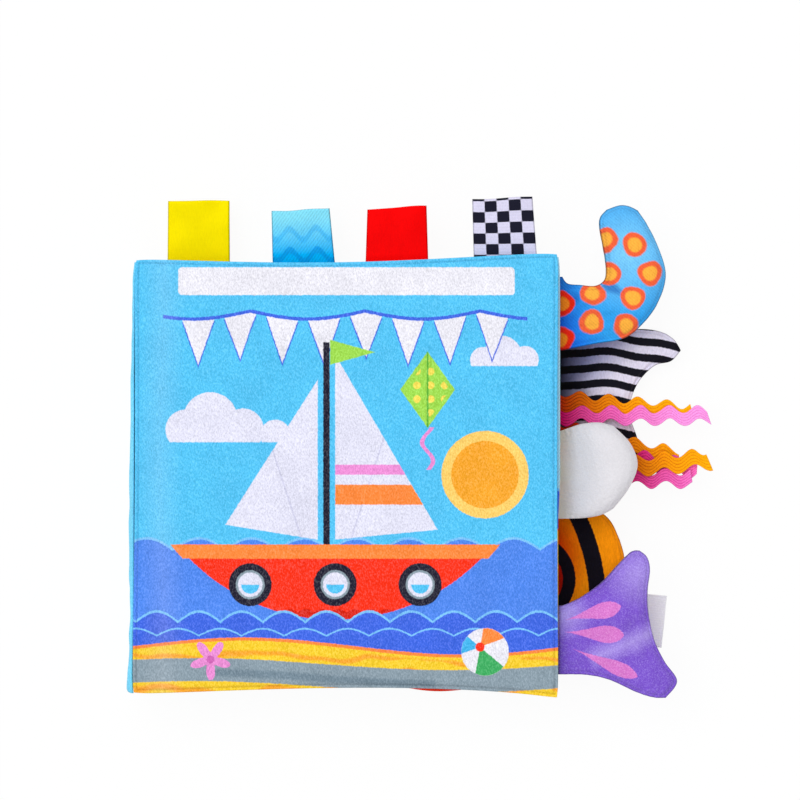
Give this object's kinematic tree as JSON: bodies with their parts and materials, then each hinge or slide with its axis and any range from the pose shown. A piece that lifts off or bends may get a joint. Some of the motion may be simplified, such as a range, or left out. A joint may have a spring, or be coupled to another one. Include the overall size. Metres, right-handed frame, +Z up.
{
  "type": "crinkle cloth book",
  "caption": "Soft padded cloth book with crinkle film in its pages, ribbon tabs on its head and stuffed animal tails with rickrack on its fore edge.",
  "frame": {"origin": "middle of the closed book's footprint, tails and tabs included, on the surface that it lies on", "axes": "+X from the spine to the fore edge, +Y from the foot to the head of the pages, +Z up through the stack to the front cover"},
  "size_m": [0.2346, 0.202, 0.0423],
  "materials": {
    "cover_print": "printed short-pile velour",
    "page_cloth": "printed knitted polyester",
    "spine_cloth": "plain light blue velour",
    "wadding": "polyester wadding",
    "crinkle_film": "thin crinkled film",
    "check_ribbon": "printed black and white check ribbon",
    "red_ribbon": "red satin ribbon",
    "wave_ribbon": "blue ribbon printed with waves",
    "yellow_ribbon": "yellow satin ribbon",
    "spotted_cloth": "blue printed knit with orange spots",
    "fish_cloth": "purple printed knit with pink drops",
    "white_plush": "short white plush",
    "striped_cloth": "knit printed with black and white stripes",
    "banded_cloth": "orange minky with black bands",
    "fibre_fill": "polyester fibre fill",
    "orange_rickrack": "woven rickrack braid",
    "pink_rickrack": "woven rickrack braid",
    "label_cloth": "white woven tape"
  },
  "bodies": {
    "back_cover": {"back_cover_lining_cloth": "page_cloth", "back_cover_wadding": "wadding", "back_cover_crinkle_film": "crinkle_film", "back_cover_outer_cloth": "cover_print", "back_cover_spine_strip": "spine_cloth", "care_label": "label_cloth"},
    "leaf_4": {"leaf_4_front_cloth": "page_cloth", "leaf_4_wadding": "wadding", "leaf_4_crinkle_film": "crinkle_film", "leaf_4_back_cloth": "page_cloth", "leaf_4_spine_strip": "spine_cloth", "ribbon_tab_yellow": "yellow_ribbon", "striped_fin_front_cloth": "striped_cloth", "striped_fin_back_cloth": "striped_cloth", "striped_fin_fill": "fibre_fill", "banded_tail_front_cloth": "banded_cloth", "banded_tail_back_cloth": "banded_cloth", "banded_tail_fill": "fibre_fill"},
    "leaf_3": {"leaf_3_front_cloth": "page_cloth", "leaf_3_wadding": "wadding", "leaf_3_crinkle_film": "crinkle_film", "leaf_3_back_cloth": "page_cloth", "leaf_3_spine_strip": "spine_cloth", "ribbon_tab_wave": "wave_ribbon", "rickrack_orange_1": "orange_rickrack", "rickrack_orange_2": "orange_rickrack", "rickrack_orange_3": "orange_rickrack", "rickrack_pink_1": "pink_rickrack", "rickrack_pink_2": "pink_rickrack", "rickrack_pink_3": "pink_rickrack"},
    "leaf_2": {"leaf_2_front_cloth": "page_cloth", "leaf_2_wadding": "wadding", "leaf_2_crinkle_film": "crinkle_film", "leaf_2_back_cloth": "page_cloth", "leaf_2_spine_strip": "spine_cloth", "ribbon_tab_red": "red_ribbon"},
    "leaf_1": {"leaf_1_front_cloth": "page_cloth", "leaf_1_wadding": "wadding", "leaf_1_crinkle_film": "crinkle_film", "leaf_1_back_cloth": "page_cloth", "leaf_1_spine_strip": "spine_cloth", "ribbon_tab_check": "check_ribbon"},
    "front_cover": {"front_cover_print_cloth": "cover_print", "front_cover_wadding": "wadding", "front_cover_crinkle_film": "crinkle_film", "front_cover_lining_cloth": "page_cloth", "front_cover_spine_strip": "spine_cloth"},
    "spotted_tail": {"spotted_tail_front_cloth": "spotted_cloth", "spotted_tail_back_cloth": "spotted_cloth", "spotted_tail_fill": "fibre_fill"},
    "fish_tail": {"fish_tail_front_cloth": "fish_cloth", "fish_tail_back_cloth": "fish_cloth", "fish_tail_fill": "fibre_fill"},
    "ball_tail": {"ball_tail_front_cloth": "white_plush", "ball_tail_back_cloth": "white_plush", "ball_tail_fill": "fibre_fill"}
  },
  "joints": [
    {"name": "leaf_4_turn", "type": "hinge", "parent": "back_cover", "child": "leaf_4", "pos_m": [-0.11754, 0, 0.02055], "axis": [0, -1, 0], "range_deg": [0, 179]},
    {"name": "leaf_3_turn", "type": "hinge", "parent": "leaf_4", "child": "leaf_3", "pos_m": [-0.11754, 0, 0.02055], "axis": [0, -1, 0], "range_deg": [0, 179]},
    {"name": "leaf_2_turn", "type": "hinge", "parent": "leaf_3", "child": "leaf_2", "pos_m": [-0.11754, 0, 0.02055], "axis": [0, -1, 0], "range_deg": [0, 179]},
    {"name": "leaf_1_turn", "type": "hinge", "parent": "leaf_2", "child": "leaf_1", "pos_m": [-0.11754, 0, 0.02055], "axis": [0, -1, 0], "range_deg": [0, 179]},
    {"name": "front_cover_turn", "type": "hinge", "parent": "leaf_1", "child": "front_cover", "pos_m": [-0.11754, 0, 0.02055], "axis": [0, -1, 0], "range_deg": [0, 179]},
    {"name": "spotted_tail_lift", "type": "hinge", "parent": "leaf_1", "child": "spotted_tail", "pos_m": [0.05699, 0.06, 0.0309], "axis": [0, -1, 0], "range_deg": [0, 50]},
    {"name": "fish_tail_lift", "type": "hinge", "parent": "leaf_1", "child": "fish_tail", "pos_m": [0.05699, -0.07, 0.0309], "axis": [0, -1, 0], "range_deg": [0, 50]},
    {"name": "ball_tail_lift", "type": "hinge", "parent": "leaf_2", "child": "ball_tail", "pos_m": [0.05699, -0.01, 0.024], "axis": [0, -1, 0], "range_deg": [0, 40]}
  ]
}
